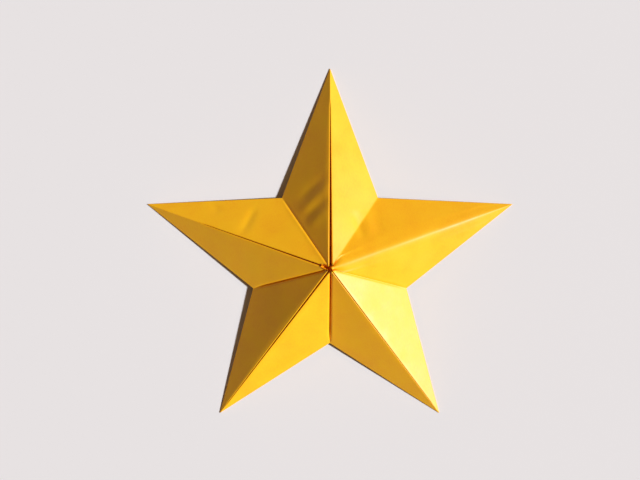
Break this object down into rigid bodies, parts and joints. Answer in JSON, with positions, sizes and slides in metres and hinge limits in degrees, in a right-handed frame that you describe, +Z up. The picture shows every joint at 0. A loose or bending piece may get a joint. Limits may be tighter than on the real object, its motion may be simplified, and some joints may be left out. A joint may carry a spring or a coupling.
{
  "type": "origami star",
  "caption": "Raised star with pointed arms, folded from yellow craft paper, with pleated ridges, valley creases, hems turned under and a small opening in the middle, for decoration.",
  "frame": {"origin": "on the table, under the star's middle axis", "axes": "+Z up along the star's middle axis, +Y along the upper arm, +X to the right as the star is looked at"},
  "size_m": [0.182, 0.1731, 0.023],
  "materials": {
    "yellow_paper": "matt"
  },
  "bodies": {
    "root": {"folded_star": "yellow_paper"}
  },
  "joints": []
}
